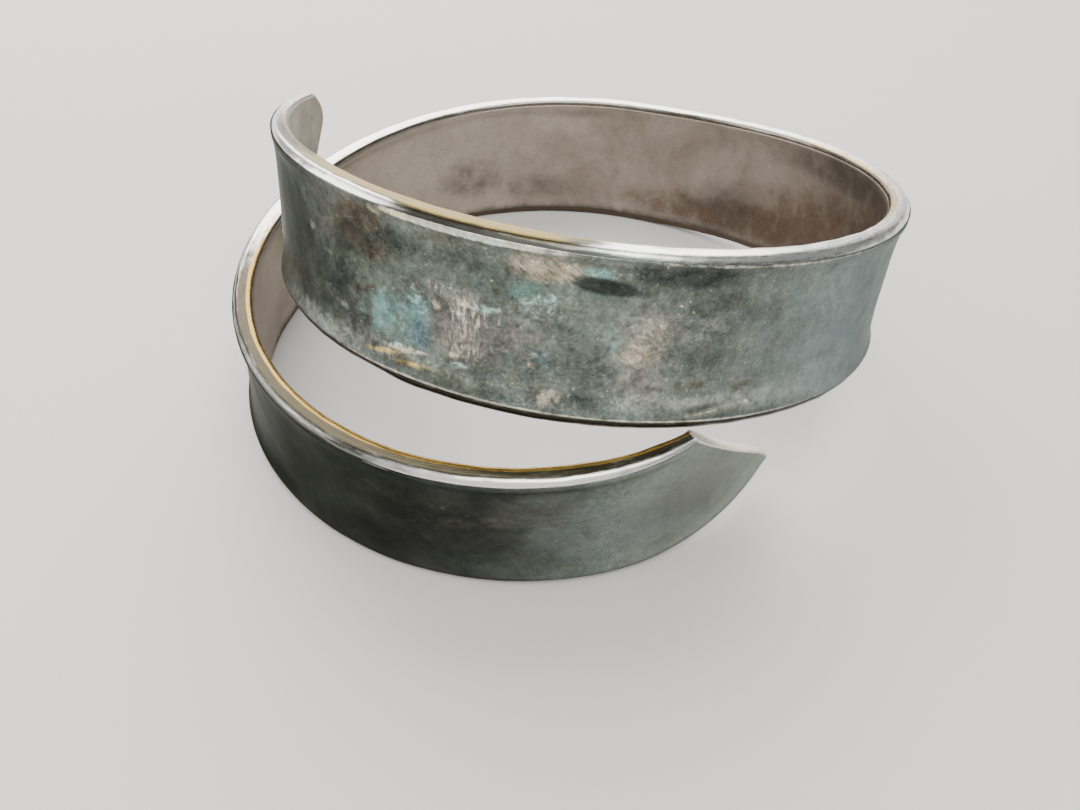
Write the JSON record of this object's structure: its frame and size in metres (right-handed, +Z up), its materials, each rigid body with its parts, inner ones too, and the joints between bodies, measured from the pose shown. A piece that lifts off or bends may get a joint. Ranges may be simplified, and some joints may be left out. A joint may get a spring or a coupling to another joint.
{
  "type": "bangle bracelet",
  "caption": "Wrap bangle: a flat silver strip coiled past a full turn so that its ends overlap, with a round wire rim along each long edge; tarnished and worn.",
  "frame": {"origin": "on the table, under the middle of the bangle's bounding box as it lies on its lower coil", "axes": "+Z up through the wrist opening; the strip's lower end points to the front right (+X, -Y) and it winds clockwise seen from above as it rises"},
  "size_m": [0.0674, 0.065, 0.0334],
  "materials": {
    "tarnished_sheet_silver": "hammered sheet silver under a dark green-grey sulphide tarnish, with blue-green and copper tints and rubbed patches",
    "worn_silver_wire": "round silver wire rubbed bright along its crown, with a yellowish tarnish on its inner side"
  },
  "bodies": {
    "root": {"band_strip": "tarnished_sheet_silver", "lower_edge_wire": "worn_silver_wire", "upper_edge_wire": "worn_silver_wire"}
  },
  "joints": []
}
